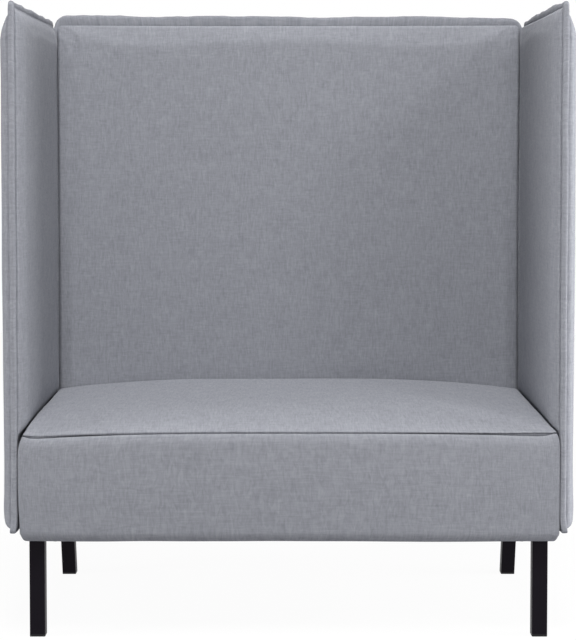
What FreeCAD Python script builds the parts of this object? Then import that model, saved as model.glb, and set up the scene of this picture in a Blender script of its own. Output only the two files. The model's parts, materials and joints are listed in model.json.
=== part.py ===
"""High-back sofa: an upholstered seat box between two side panels and a tall back panel, on four legs.

Millimetres. The origin is on the floor under the middle of the sofa. +Z is up, the sitter faces -Y, and
+X is to the right of somebody who looks at the front of the sofa.
"""

import FreeCAD
import Part

import math
import os

# Driving dimensions: the three panels
sitting_width = 1152.0
panel_depth = 660.0
panel_bottom_z = 238.0
side_top_z = 1397.0
back_rise = 8.0
core_thickness = 12.0
core_corner_radius = 6.0
side_inner_swell = 18.0
side_outer_swell = 28.0
back_front_swell = 18.0
back_rear_swell = 27.0
pad_edge_width = 52.0
pad_crown = 2.0
pad_crown_inset = 150.0
pad_corner_growth = 0.7
side_draw_in = 4.0
back_draw_in = 1.5
welt_height = 12.5
back_welt_top_height = 22.0
side_welt_corner_radius = 18.0
back_welt_corner_radius = 26.0
welt_round = 6.0
cover_thickness = 1.5

# Driving dimensions: the seat
seat_bottom_z = 224.0
seat_seam_z = 456.0
seat_crown = 41.0
seat_crown_inset = 285.0
seat_crown_power = 2.6
seat_crown_corner_growth = 0.7
seat_set_back = 2.0
seat_corner_radius = 18.0
seat_seam_corner_radius = 12.0
seat_seam_set_back = 8.0
seat_shoulder_height = 30.0
seat_bottom_round = 12.0
seat_padding = 14.0
seat_hem_width = 34.0
rail_thickness = 25.0
rail_height = 115.0
centre_rail_height = 60.0
centre_rail_spacing = 380.0
corner_block_length = 74.0
corner_block_height = 40.0
felt_thickness = 4.0
dust_cover_thickness = 1.0
dust_cover_margin = 14.0
webbing_width = 60.0
webbing_thickness = 2.0
webbing_end_margin = 4.0
webbing_slope_length = 12.0
long_webbing_count = 9
cross_webbing_count = 4

# Driving dimensions: the legs
leg_width = 34.0
leg_wall = 2.0
leg_corner_radius = 3.0
leg_side_set_back = 19.7
front_leg_set_back = 40.0
rear_foot_set_back = 12.0
rear_leg_rake = 17.0
leg_plate_thickness = 3.0
leg_plate_width = 72.0
leg_plate_depth = 82.0
leg_plate_corner_radius = 5.0
leg_plate_edge = 1.5
leg_screw_edge = 10.0
leg_screw_radius = 3.0
leg_screw_length = 32.0
leg_screw_head_radius = 6.0
leg_screw_head_height = 3.0
glide_height = 5.0
glide_plug_height = 16.0

# Driving dimensions: the bolts
seat_bolt_radius = 4.0
seat_bolt_head_radius = 6.5
seat_bolt_head_height = 5.0
seat_bolt_rise = 59.5
side_bolt_spacing = 190.0
back_bolt_spacing = 400.0
washer_radius = 9.0
washer_thickness = 1.6
tee_nut_flange_radius = 10.0
tee_nut_flange_thickness = 1.6
tee_nut_barrel_radius = 5.4
joint_bolt_radius = 3.0
joint_bolt_head_radius = 8.5
joint_bolt_head_height = 2.5
joint_bolt_length = 68.0
joint_bolt_count = 4
lowest_joint_bolt_rise = 182.0
highest_joint_bolt_drop = 67.0
barrel_nut_radius = 5.0
barrel_nut_inset = 10.0

# Clearances
fit_gap = 0.3
hole_clearance = 0.3
tee_nut_end_gap = 1.1
cut_through = 5.0

# Places that follow from the driving dimensions
front_y = -panel_depth / 2
rear_y = panel_depth / 2
back_top_z = side_top_z + back_rise
core_inner_x = sitting_width / 2 + side_inner_swell
core_outer_x = core_inner_x + core_thickness
back_core_rear_y = rear_y - back_rear_swell
back_core_front_y = back_core_rear_y - core_thickness
butt_x = core_inner_x - cover_thickness - fit_gap
butt_y = back_core_front_y - cover_thickness - fit_gap
pad_end_z = seat_seam_z + fit_gap
pad_run_out = 2 * pad_crown_inset

seat_front_y = front_y + seat_set_back
seam_half_x = sitting_width / 2 - fit_gap
seam_front_y = seat_front_y + seat_seam_set_back
seam_back_y = back_core_front_y - back_front_swell - fit_gap
frame_bottom_z = seat_bottom_z + cover_thickness
rail_top_z = frame_bottom_z + rail_height
rail_outer_x = butt_x - cover_thickness - seat_padding
rail_inner_x = rail_outer_x - rail_thickness
front_rail_front_y = seat_front_y + cover_thickness + seat_padding
front_rail_rear_y = front_rail_front_y + rail_thickness
back_rail_rear_y = butt_y - cover_thickness - seat_padding
back_rail_front_y = back_rail_rear_y - rail_thickness
felt_bottom_z = rail_top_z + 2 * webbing_thickness
felt_top_z = felt_bottom_z + felt_thickness
dust_cover_z = seat_bottom_z - dust_cover_thickness
leg_plate_z = dust_cover_z - leg_plate_thickness
leg_outer_x = butt_x - leg_side_set_back
leg_centre_x = leg_outer_x - leg_width / 2
front_foot_y = front_y + front_leg_set_back + leg_width / 2
rear_foot_depth = leg_width / math.cos(math.radians(rear_leg_rake))
rear_foot_y = rear_y - rear_foot_set_back - rear_foot_depth / 2
rear_leg_slope = math.tan(math.radians(rear_leg_rake))
back_core_middle_y = (back_core_front_y + back_core_rear_y) / 2

seat_bolt_z = frame_bottom_z + seat_bolt_rise
tee_nut_recess = tee_nut_flange_thickness + fit_gap
tee_nut_barrel_length = core_thickness - tee_nut_recess - tee_nut_end_gap
joint_bolt_seat_x = core_outer_x - joint_bolt_head_height - fit_gap
barrel_nut_x = joint_bolt_seat_x - joint_bolt_length + barrel_nut_inset

# A panel is drawn flat, as (along, up, out). These stand it up: a side panel faces +X and the back faces +Y.
side_placement = FreeCAD.Placement(FreeCAD.Matrix(0, 0, 1, 0, 1, 0, 0, 0, 0, 1, 0, 0))
back_placement = FreeCAD.Placement(FreeCAD.Matrix(-1, 0, 0, 0, 0, 0, 1, 0, 0, 1, 0, 0))

along_x = FreeCAD.Vector(1, 0, 0)
along_y = FreeCAD.Vector(0, 1, 0)
along_z = FreeCAD.Vector(0, 0, 1)
origin = FreeCAD.Vector(0, 0, 0)


# Basic shapes


def vec(x, y, z):
    return FreeCAD.Vector(x, y, z)


def box(x0, x1, y0, y1, z0, z1):
    return Part.makeBox(x1 - x0, y1 - y0, z1 - z0, vec(x0, y0, z0))


def rod(radius, start, direction, length):
    return Part.makeCylinder(radius, length, start, direction)


def fused(shapes):
    return shapes[0].multiFuse(shapes[1:]).removeSplitter()


def mirrored(shape):
    """The piece on the other side of the sofa."""
    return shape.mirror(origin, along_x)


def both_sides(shapes):
    return Part.makeCompound(shapes + [mirrored(shape) for shape in shapes])


def rounded_wire(x0, x1, y0, y1, radius, z):
    """A level rectangle with round corners, from its front edge round to the right."""
    slant = radius * math.sqrt(0.5)
    centres = [
        (x1 - radius, y0 + radius),
        (x1 - radius, y1 - radius),
        (x0 + radius, y1 - radius),
        (x0 + radius, y0 + radius),
    ]
    normals = [(0, -1), (1, 0), (0, 1), (-1, 0), (0, -1)]
    edges = []
    for i, (cx, cy) in enumerate(centres):
        (ax, ay), (bx, by) = normals[i], normals[i + 1]
        last_x, last_y = centres[i - 1]
        line_start = vec(last_x + ax * radius, last_y + ay * radius, z)
        arc_start = vec(cx + ax * radius, cy + ay * radius, z)
        arc_middle = vec(cx + (ax + bx) * slant, cy + (ay + by) * slant, z)
        arc_end = vec(cx + bx * radius, cy + by * radius, z)
        edges.append(Part.LineSegment(line_start, arc_start).toShape())
        edges.append(Part.Arc(arc_start, arc_middle, arc_end).toShape())
    return Part.Wire(edges)


def rounded_prism(x0, x1, y0, y1, radius, z0, z1):
    return Part.Face(rounded_wire(x0, x1, y0, y1, radius, z0)).extrude(vec(0, 0, z1 - z0))


# Padded panels, drawn flat


def bowed_wire(outline, draw, radius, out):
    """An outline whose four sides are drawn in by shallow arcs, with tangent arcs at its corners."""
    s0, s1, t0, t1 = outline
    s_mid, t_mid = (s0 + s1) / 2, (t0 + t1) / 2

    def bow_radius(half_length):
        return (half_length * half_length + draw * draw) / (2 * draw)

    level, upright = bow_radius((s1 - s0) / 2), bow_radius((t1 - t0) / 2)
    level_centre = (s_mid, t0 + draw - level)
    upright_centre = (s1 - draw + upright, t_mid)

    # The corner arc touches both bows, so its centre is one radius further from each bow's centre.
    gap_s, gap_t = upright_centre[0] - level_centre[0], upright_centre[1] - level_centre[1]
    gap = math.hypot(gap_s, gap_t)
    along = ((level + radius) ** 2 - (upright + radius) ** 2 + gap * gap) / (2 * gap)
    across = math.sqrt((level + radius) ** 2 - along * along)
    corner_s = level_centre[0] + (along * gap_s - across * gap_t) / gap
    corner_t = level_centre[1] + (along * gap_t + across * gap_s) / gap

    def tangent_point(centre, bow):
        share = bow / (bow + radius)
        return (centre[0] + (corner_s - centre[0]) * share, centre[1] + (corner_t - centre[1]) * share)

    low, high = tangent_point(level_centre, level), tangent_point(upright_centre, upright)
    chord_s, chord_t = (low[0] + high[0]) / 2 - corner_s, (low[1] + high[1]) / 2 - corner_t
    share = radius / math.hypot(chord_s, chord_t)
    tip = (corner_s + chord_s * share, corner_t + chord_t * share)

    def right_low(point):
        return vec(point[0], point[1], out)

    def right_high(point):
        return vec(point[0], 2 * t_mid - point[1], out)

    def left_high(point):
        return vec(2 * s_mid - point[0], 2 * t_mid - point[1], out)

    def left_low(point):
        return vec(2 * s_mid - point[0], point[1], out)

    arcs = [
        (left_low(low), vec(s_mid, t0 + draw, out), right_low(low)),
        (right_low(low), right_low(tip), right_low(high)),
        (right_low(high), vec(s1 - draw, t_mid, out), right_high(high)),
        (right_high(high), right_high(tip), right_high(low)),
        (right_high(low), vec(s_mid, t1 - draw, out), left_high(low)),
        (left_high(low), left_high(tip), left_high(high)),
        (left_high(high), vec(s0 + draw, t_mid, out), left_low(high)),
        (left_low(high), left_low(tip), left_low(low)),
    ]
    return Part.Wire([Part.Arc(*arc).toShape() for arc in arcs])


def bowed_prism(outline, draw, radius, out0, out1):
    return Part.Face(bowed_wire(outline, draw, radius, out0)).extrude(vec(0, 0, out1 - out0))


def grown(outline, by):
    s0, s1, t0, t1 = outline
    return (s0 - by, s1 + by, t0 - by, t1 + by)


def pillow(outline, draw, swell, skin):
    """A padded face: a quarter ellipse up from its seam, then a gentle crown. Skin makes it fatter."""
    steps = 4
    width = pad_edge_width + skin
    rise = swell - pad_crown + skin
    sections = []
    for i in range(steps + 1):
        angle = math.pi / 2 * i / steps
        sections.append((width * (1 - math.cos(angle)), rise * math.sin(angle)))
    sections.append((pad_crown_inset + skin, rise + pad_crown))
    wires = []
    for inset, out in sections:
        corner_radius = core_corner_radius + pad_corner_growth * inset
        wires.append(bowed_wire(grown(outline, skin - inset), draw, corner_radius, out))
    return Part.makeLoft(wires, True, True)


def border_welt(crest, outline, draw, corner_radius):
    """The welt round a panel's edge: four rounded strips, seamed where the panel's corners are."""
    steps = 6
    wires = []
    for i in range(steps + 1):
        angle = math.pi * i / steps
        inset = welt_round * (1 - math.sin(angle))
        out = core_thickness / 2 * (1 - math.cos(angle))
        wires.append(bowed_wire(grown(crest, -inset), draw, corner_radius - inset, out))
    core_space = bowed_prism(outline, draw, core_corner_radius, -cut_through, core_thickness + cut_through)
    band = Part.makeLoft(wires, True, True).cut(core_space)

    def seam(i, j):
        """The seam line at one corner, from well outside the crest to well inside the outline."""
        outer = vec(crest[i], crest[j], -cut_through)
        inner = vec(outline[i], outline[j], -cut_through)
        return outer + (outer - inner), inner + (inner - outer)

    corners = [seam(0, 2), seam(1, 2), seam(1, 3), seam(0, 3)]
    strips = []
    for i, (outer, inner) in enumerate(corners):
        last_outer, last_inner = corners[i - 1]
        wedge = Part.Face(Part.makePolygon([last_outer, outer, inner, last_inner, last_outer]))
        strips.append(band.common(wedge.extrude(vec(0, 0, core_thickness + 2 * cut_through))))
    return Part.makeCompound([solid for strip in strips for solid in strip.Solids])


def full_padding(outline, draw, swell):
    """A pad that fills its outline, and the fabric over it."""
    foam = swell - cover_thickness
    pad = pillow(outline, draw, foam, 0)
    return pad, pillow(outline, draw, foam, cover_thickness).cut(pad)


def stopped_padding(outline, pad_outline, draw, swell, stops):
    """A pad that stops square at its neighbours, and its fabric, which lies flat past the stops."""
    foam = swell - cover_thickness
    s0, s1, t0, t1 = stops
    height = swell + cut_through
    limit = box(s0, s1, t0, t1, -cut_through, height)
    foam_s0, foam_s1, foam_t0, foam_t1 = grown(stops, -cover_thickness)
    foam_limit = box(foam_s0, foam_s1, foam_t0, foam_t1, -cut_through, height)
    pad = pillow(pad_outline, draw, foam, 0).common(foam_limit)
    face = pillow(pad_outline, draw, foam, cover_thickness).common(limit)
    sheet = bowed_prism(outline, draw, core_corner_radius, 0, cover_thickness)
    return pad, fused([sheet, face]).cut(pad)


def on_far_face(shape):
    """A piece that was drawn on the panel's near face, moved out to the far face of the core."""
    return shape.translated(vec(0, 0, core_thickness))


def on_near_face(shape):
    return shape.mirror(origin, along_z)


def stand_up(pieces, placement, place):
    standing = {}
    for name, shape in pieces.items():
        shape = shape.copy()
        shape.Placement = placement.multiply(shape.Placement)
        standing[name] = shape.translated(place)
    return standing


def side_panel():
    """The right-hand panel. Its inner pad stops at the back panel and just above the seat's seam."""
    crest = (front_y, rear_y, panel_bottom_z, side_top_z)
    outline = grown(crest, -welt_height)
    outer_pad, outer_cover = full_padding(outline, side_draw_in, side_outer_swell)
    pad_outline = (outline[0], butt_y + pad_run_out, pad_end_z - pad_run_out, outline[3])
    stops = (front_y - cut_through, butt_y, pad_end_z, side_top_z + cut_through)
    inner_pad, inner_cover = stopped_padding(outline, pad_outline, side_draw_in, side_inner_swell, stops)
    pieces = {
        "core": bowed_prism(outline, side_draw_in, core_corner_radius, 0, core_thickness),
        "border_welt": border_welt(crest, outline, side_draw_in, side_welt_corner_radius),
        "outer_pad": on_far_face(outer_pad),
        "outer_cover": on_far_face(outer_cover),
        "inner_pad": on_near_face(inner_pad),
        "inner_cover": on_near_face(inner_cover),
    }
    return stand_up(pieces, side_placement, vec(core_inner_x, 0, 0))


def back_panel():
    """The back panel, between the side panels. Its front pad stops at them and just above the seat's seam."""
    crest = (-butt_x, butt_x, panel_bottom_z, back_top_z)
    outline = (
        crest[0] + welt_height,
        crest[1] - welt_height,
        crest[2] + welt_height,
        crest[3] - back_welt_top_height,
    )
    rear_pad, rear_cover = full_padding(outline, back_draw_in, back_rear_swell)
    pad_half = seam_half_x - cover_thickness
    pad_outline = (-pad_half, pad_half, pad_end_z - pad_run_out, outline[3])
    stops = (-butt_x, butt_x, pad_end_z, back_top_z + cut_through)
    front_pad, front_cover = stopped_padding(outline, pad_outline, back_draw_in, back_front_swell, stops)
    pieces = {
        "core": bowed_prism(outline, back_draw_in, core_corner_radius, 0, core_thickness),
        "border_welt": border_welt(crest, outline, back_draw_in, back_welt_corner_radius),
        "rear_pad": on_far_face(rear_pad),
        "rear_cover": on_far_face(rear_cover),
        "front_pad": on_near_face(front_pad),
        "front_cover": on_near_face(front_cover),
    }
    return stand_up(pieces, back_placement, vec(0, back_core_front_y, 0))


# Seat


def seat_sides(skin):
    """The seat box, from its rounded bottom edge up and over the shoulder to its seam. Skin thins it."""
    half_x = butt_x - skin
    y0, y1 = seat_front_y + skin, butt_y - skin
    radius = seat_corner_radius - skin
    bottom_z = seat_bottom_z + skin
    shoulder_z = seat_seam_z - seat_shoulder_height
    lower = rounded_prism(-half_x, half_x, y0, y1, radius, bottom_z, shoulder_z)
    bottom_edges = [edge for edge in lower.Edges if edge.BoundBox.ZMax < bottom_z + fit_gap]
    lower = lower.makeFillet(seat_bottom_round - skin, bottom_edges)

    seam_x = seam_half_x - skin
    seam_y0, seam_y1 = seam_front_y + skin, seam_back_y - skin
    seam_radius = seat_seam_corner_radius - skin
    wires = []
    steps = 3
    for i in range(steps + 1):
        angle = math.pi / 2 * i / steps
        share = 1 - math.cos(angle)
        rise = math.sin(angle)
        wires.append(
            rounded_wire(
                -half_x + (half_x - seam_x) * share,
                half_x - (half_x - seam_x) * share,
                y0 + (seam_y0 - y0) * share,
                y1 + (seam_y1 - y1) * share,
                radius + (seam_radius - radius) * share,
                shoulder_z + seat_shoulder_height * rise,
            )
        )
    return fused([lower, Part.makeLoft(wires, True, True)])


def seat_dome(skin):
    """The crowned top: steep at the front and side seams, flat in the middle, square at the back panel."""
    shares = (0, 0.03, 0.09, 0.18, 0.32, 0.5, 0.72, 1)
    half_x = seam_half_x - skin
    far_y = seam_back_y + 2 * seat_crown_inset
    wires = []
    for share in shares:
        inset = seat_crown_inset * share
        rise = seat_crown * (1 - (1 - share) ** seat_crown_power)
        if share > 0:
            rise -= skin
        wires.append(
            rounded_wire(
                inset - half_x,
                half_x - inset,
                seam_front_y + skin + inset,
                far_y - inset,
                seat_seam_corner_radius - skin + seat_crown_corner_growth * inset,
                seat_seam_z + rise,
            )
        )
    dome = Part.makeLoft(wires, True, True)
    top_z = seat_seam_z + seat_crown + cut_through
    return dome.common(box(-half_x, half_x, front_y, seam_back_y - skin, seat_seam_z, top_z))


def seat_upholstery():
    opening = box(
        seat_hem_width - butt_x,
        butt_x - seat_hem_width,
        seat_front_y + seat_hem_width,
        butt_y - seat_hem_width,
        seat_bottom_z - cut_through,
        frame_bottom_z + cut_through,
    )
    frame_space = box(
        -rail_outer_x,
        rail_outer_x,
        front_rail_front_y,
        back_rail_rear_y,
        frame_bottom_z - cut_through,
        felt_top_z,
    )
    foam_sides, foam_dome = seat_sides(cover_thickness), seat_dome(cover_thickness)
    margin = dust_cover_margin
    return {
        "seat_top_cover": seat_dome(0).cut(foam_dome),
        "seat_border_cover": seat_sides(0).cut(foam_sides).cut(opening),
        "seat_foam": fused([foam_sides, foam_dome]).cut(frame_space),
        "seat_felt": box(
            -rail_outer_x, rail_outer_x, front_rail_front_y, back_rail_rear_y, felt_bottom_z, felt_top_z
        ),
        "seat_dust_cover": box(
            margin - butt_x,
            butt_x - margin,
            seat_front_y + margin,
            butt_y - margin,
            dust_cover_z,
            seat_bottom_z,
        ),
    }


def seat_frame():
    def rail(x0, x1, y0, y1, height):
        return box(x0, x1, y0, y1, frame_bottom_z, frame_bottom_z + height)

    right_rail = rail(rail_inner_x, rail_outer_x, front_rail_rear_y, back_rail_front_y, rail_height)
    centre_x = centre_rail_spacing / 2
    centre_rail = rail(
        centre_x - rail_thickness / 2,
        centre_x + rail_thickness / 2,
        front_rail_rear_y,
        back_rail_front_y,
        centre_rail_height,
    )
    block_x = rail_inner_x - corner_block_length
    front_block = rail(
        block_x, rail_inner_x, front_rail_rear_y, front_rail_rear_y + corner_block_length, corner_block_height
    )
    back_block = rail(
        block_x, rail_inner_x, back_rail_front_y - corner_block_length, back_rail_front_y, corner_block_height
    )
    return {
        "seat_front_rail": rail(
            -rail_outer_x, rail_outer_x, front_rail_front_y, front_rail_rear_y, rail_height
        ),
        "seat_back_rail": rail(-rail_outer_x, rail_outer_x, back_rail_front_y, back_rail_rear_y, rail_height),
        "seat_right_rail": right_rail,
        "seat_left_rail": mirrored(right_rail),
        "seat_centre_rails": both_sides([centre_rail]),
        "seat_corner_blocks": both_sides([front_block, back_block]),
    }


def strap(start, end, humps):
    """A webbing strap in side view, as (along, up) points: it lies on the rails and climbs over each hump."""
    half = webbing_width / 2
    points = [(start, 0)]
    for middle in humps:
        points.append((middle - half - webbing_slope_length, 0))
        points.append((middle - half, webbing_thickness))
        points.append((middle + half, webbing_thickness))
        points.append((middle + half + webbing_slope_length, 0))
    points.append((end, 0))
    return points + [(along, up + webbing_thickness) for along, up in reversed(points)]


def seat_webbing():
    """Straps front to back and side to side, woven over and under each other on top of the rails."""
    long_pitch = 2 * rail_inner_x / long_webbing_count
    cross_pitch = (back_rail_front_y - front_rail_rear_y) / cross_webbing_count
    long_places = [-rail_inner_x + long_pitch * (i + 0.5) for i in range(long_webbing_count)]
    cross_places = [front_rail_rear_y + cross_pitch * (i + 0.5) for i in range(cross_webbing_count)]
    half = webbing_width / 2
    margin = webbing_end_margin

    def ribbon(points, width):
        face = Part.Face(Part.makePolygon(points + points[:1]))
        return face.extrude(width)

    long_straps = []
    for i, x in enumerate(long_places):
        humps = [y for j, y in enumerate(cross_places) if (i + j) % 2 == 0]
        side_view = strap(front_rail_front_y + margin, back_rail_rear_y - margin, humps)
        points = [vec(x - half, along, rail_top_z + up) for along, up in side_view]
        long_straps.append(ribbon(points, vec(webbing_width, 0, 0)))
    cross_straps = []
    for j, y in enumerate(cross_places):
        humps = [x for i, x in enumerate(long_places) if (i + j) % 2 == 1]
        side_view = strap(margin - rail_outer_x, rail_outer_x - margin, humps)
        points = [vec(along, y - half, rail_top_z + up) for along, up in side_view]
        cross_straps.append(ribbon(points, vec(0, webbing_width, 0)))
    return {
        "seat_long_webbing": Part.makeCompound(long_straps),
        "seat_cross_webbing": Part.makeCompound(cross_straps),
    }


# Legs


def leg_section(foot_y, slope, depth, inset, z):
    """The leg's level section at a height. A raked leg is a little deeper, and moves forward as it rises."""
    half_x, half_y = leg_width / 2 - inset, depth / 2 - inset
    y = foot_y - slope * z
    radius = max(leg_corner_radius - inset, leg_corner_radius / 2)
    return rounded_wire(leg_centre_x - half_x, leg_centre_x + half_x, y - half_y, y + half_y, radius, z)


def leg_and_glide(foot_y, slope, depth):
    """A square tube with its top plate welded on, and the plastic glide that plugs its lower end."""

    def run(inset, z0, z1):
        wires = [leg_section(foot_y, slope, depth, inset, z) for z in (z0, z1)]
        return Part.makeLoft(wires, True, True)

    top_y = foot_y - slope * leg_plate_z
    plate = rounded_prism(
        leg_outer_x + leg_plate_edge - leg_plate_width,
        leg_outer_x + leg_plate_edge,
        top_y - leg_plate_depth / 2,
        top_y + leg_plate_depth / 2,
        leg_plate_corner_radius,
        leg_plate_z,
        dust_cover_z,
    )
    tube = run(0, glide_height, leg_plate_z).cut(run(leg_wall, glide_height, leg_plate_z))
    plug = run(leg_wall + fit_gap, glide_height, glide_height + glide_plug_height)
    return fused([tube, plate]), fused([run(0, 0, glide_height), plug])


def leg_screw_places():
    """The right-hand legs' screws, at the corners of the two plates."""
    x1 = leg_outer_x + leg_plate_edge - leg_screw_edge
    x0 = x1 + 2 * leg_screw_edge - leg_plate_width
    reach = leg_plate_depth / 2 - leg_screw_edge
    places = []
    for top_y in (front_foot_y, rear_foot_y - rear_leg_slope * leg_plate_z):
        for x in (x0, x1):
            places.append((x, top_y - reach))
            places.append((x, top_y + reach))
    return places


# Screws, bolts and nuts


def headed_rod(seat, direction, radius, length, head_radius, head_height):
    """A screw or bolt: its head stands on the seat, and its shank goes on from there."""
    head = rod(head_radius, seat - direction * head_height, direction, head_height)
    return fused([head, rod(radius, seat, direction, length)])


def leg_screw(x, y):
    seat = vec(x, y, leg_plate_z)
    head = (leg_screw_head_radius, leg_screw_head_height)
    return headed_rod(seat, along_z, leg_screw_radius, leg_screw_length, *head)


def seat_bolt(place, direction, length):
    """A bolt from inside the seat frame. Its washer lies between the rail and its head."""
    on_washer = place - direction * washer_thickness
    head = (seat_bolt_head_radius, seat_bolt_head_height)
    return headed_rod(on_washer, direction, seat_bolt_radius, length + washer_thickness, *head)


def washer(place, direction):
    on_washer = place - direction * washer_thickness
    disc = rod(washer_radius, on_washer, direction, washer_thickness)
    return disc.cut(rod(seat_bolt_radius + hole_clearance, on_washer, direction, washer_thickness))


def joint_bolt(place):
    """A flat-headed bolt that draws the back panel's barrel nut towards a side panel."""
    head = (joint_bolt_head_radius, joint_bolt_head_height)
    return headed_rod(place, along_x * -1, joint_bolt_radius, joint_bolt_length, *head)


def tee_nut(flange_seat, direction):
    """A tee nut pressed into a core: its flange lies in a recess of the far face, its barrel points back."""
    flange = rod(tee_nut_flange_radius, flange_seat, direction, tee_nut_flange_thickness)
    barrel = rod(tee_nut_barrel_radius, flange_seat, direction * -1, tee_nut_barrel_length)
    length = tee_nut_barrel_length + tee_nut_flange_thickness
    bore_start = flange_seat - direction * tee_nut_barrel_length
    return fused([flange, barrel]).cut(rod(seat_bolt_radius + hole_clearance, bore_start, direction, length))


def barrel_nut(z):
    nut = rod(barrel_nut_radius, vec(barrel_nut_x, back_core_front_y, z), along_y, core_thickness)
    start = vec(barrel_nut_x - 2 * barrel_nut_radius, back_core_middle_y, z)
    return nut.cut(rod(joint_bolt_radius + hole_clearance, start, along_x, 4 * barrel_nut_radius))


def joint_bolt_heights():
    lowest = panel_bottom_z + lowest_joint_bolt_rise
    pitch = (side_top_z - highest_joint_bolt_drop - lowest) / (joint_bolt_count - 1)
    return [lowest + pitch * i for i in range(joint_bolt_count)]


side_bolt_places = [vec(rail_inner_x, y, seat_bolt_z) for y in (-side_bolt_spacing, 0, side_bolt_spacing)]
back_bolt_row = (-back_bolt_spacing, 0, back_bolt_spacing)
back_bolt_places = [vec(x, back_rail_front_y, seat_bolt_z) for x in back_bolt_row]
joint_bolt_places = [vec(joint_bolt_seat_x, back_core_middle_y, z) for z in joint_bolt_heights()]
side_bolt_length = core_outer_x - fit_gap - rail_inner_x
back_bolt_length = back_core_rear_y - fit_gap - back_rail_front_y
side_nut_seats = [vec(core_outer_x - tee_nut_recess, place.y, place.z) for place in side_bolt_places]
back_nut_seats = [vec(place.x, back_core_rear_y - tee_nut_recess, place.z) for place in back_bolt_places]


def bolts_and_nuts():
    side_bolts = [seat_bolt(place, along_x, side_bolt_length) for place in side_bolt_places]
    back_bolts = [seat_bolt(place, along_y, back_bolt_length) for place in back_bolt_places]
    side_washers = both_sides([washer(place, along_x) for place in side_bolt_places])
    back_washers = [washer(place, along_y) for place in back_bolt_places]
    side_nuts = both_sides([tee_nut(seat, along_x) for seat in side_nut_seats])
    back_nuts = [tee_nut(seat, along_y) for seat in back_nut_seats]
    return {
        "seat_side_bolts": both_sides(side_bolts),
        "seat_back_bolts": Part.makeCompound(back_bolts),
        "panel_joint_bolts": both_sides([joint_bolt(place) for place in joint_bolt_places]),
        "bolt_washers": Part.makeCompound(side_washers.Solids + back_washers),
        "tee_nuts": Part.makeCompound(side_nuts.Solids + back_nuts),
        "barrel_nuts": both_sides([barrel_nut(z) for z in joint_bolt_heights()]),
    }


def drilled(pieces, names, tools):
    """Holes in the named pieces, by the same rods that stand for what passes through them."""
    for name in names:
        for tool in tools:
            if pieces[name].BoundBox.intersect(tool.BoundBox):
                pieces[name] = pieces[name].cut(tool)


def drill_everything(pieces):
    def through(places, radius, direction, length):
        return [rod(radius + hole_clearance, place, direction, length) for place in places]

    side_holes = through(side_bolt_places, seat_bolt_radius, along_x, side_bolt_length)
    back_holes = through(back_bolt_places, seat_bolt_radius, along_y, back_bolt_length)
    joint_holes = through(joint_bolt_places, joint_bolt_radius, along_x * -1, joint_bolt_length)
    screw_holes = [
        rod(leg_screw_radius + hole_clearance, vec(x, y, leg_plate_z), along_z, leg_screw_length)
        for x, y in leg_screw_places()
    ]

    def tee_nut_holes(seats, direction):
        """A bore for each barrel, and a recess for each flange."""
        barrels = through(seats, tee_nut_barrel_radius, direction * -1, tee_nut_barrel_length)
        return barrels + through(seats, tee_nut_flange_radius, direction, cut_through)

    head_recesses = through(joint_bolt_places, joint_bolt_head_radius, along_x, cut_through)
    barrel_nut_bores = [
        rod(barrel_nut_radius, vec(barrel_nut_x, back_core_front_y, z), along_y, core_thickness)
        for z in joint_bolt_heights()
    ]

    def on_both(tools):
        return tools + [mirrored(tool) for tool in tools]

    side_core_tools = side_holes + joint_holes + tee_nut_holes(side_nut_seats, along_x) + head_recesses
    drilled(pieces, ["right_core"], side_core_tools)
    drilled(pieces, ["left_core"], [mirrored(tool) for tool in side_core_tools])
    drilled(pieces, ["right_inner_cover"], side_holes + joint_holes)
    drilled(pieces, ["left_inner_cover"], [mirrored(tool) for tool in side_holes + joint_holes])
    drilled(pieces, ["seat_right_rail"], side_holes + screw_holes)
    drilled(pieces, ["seat_left_rail"], [mirrored(tool) for tool in side_holes + screw_holes])
    drilled(pieces, ["seat_front_rail"], on_both(screw_holes))
    drilled(pieces, ["seat_back_rail"], on_both(screw_holes) + back_holes)
    drilled(pieces, ["seat_corner_blocks", "seat_dust_cover"], on_both(screw_holes))
    drilled(pieces, ["seat_foam"], on_both(side_holes) + back_holes)
    drilled(pieces, ["seat_border_cover"], on_both(side_holes + screw_holes) + back_holes)
    drilled(pieces, ["back_front_cover"], back_holes)
    back_core_tools = on_both(joint_holes + barrel_nut_bores) + back_holes
    drilled(pieces, ["back_core"], back_core_tools + tee_nut_holes(back_nut_seats, along_y))
    drilled(pieces, ["back_border_welt"], on_both(joint_holes))
    drilled(pieces, ["front_right_leg", "rear_right_leg"], screw_holes)
    drilled(pieces, ["front_left_leg", "rear_left_leg"], [mirrored(tool) for tool in screw_holes])


def sofa():
    pieces = {}
    for name, shape in side_panel().items():
        pieces["right_" + name] = shape
        pieces["left_" + name] = mirrored(shape)
    for name, shape in back_panel().items():
        pieces["back_" + name] = shape
    pieces.update(seat_upholstery())
    pieces.update(seat_frame())
    pieces.update(seat_webbing())
    for end, foot in (
        ("front", (front_foot_y, 0, leg_width)),
        ("rear", (rear_foot_y, rear_leg_slope, rear_foot_depth)),
    ):
        leg, glide = leg_and_glide(*foot)
        pieces[end + "_right_leg"] = leg
        pieces[end + "_left_leg"] = mirrored(leg)
        pieces[end + "_right_glide"] = glide
        pieces[end + "_left_glide"] = mirrored(glide)
    pieces["leg_screws"] = both_sides([leg_screw(x, y) for x, y in leg_screw_places()])
    pieces.update(bolts_and_nuts())
    drill_everything(pieces)
    return pieces


os.makedirs("parts", exist_ok=True)
for node, piece in sofa().items():
    piece.exportStep("parts/" + node + ".step")
    bounds = piece.BoundBox
    print(node, len(piece.Solids), "solids", piece.isValid(), round(piece.Volume / 1e3), "cm3", bounds)
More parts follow.
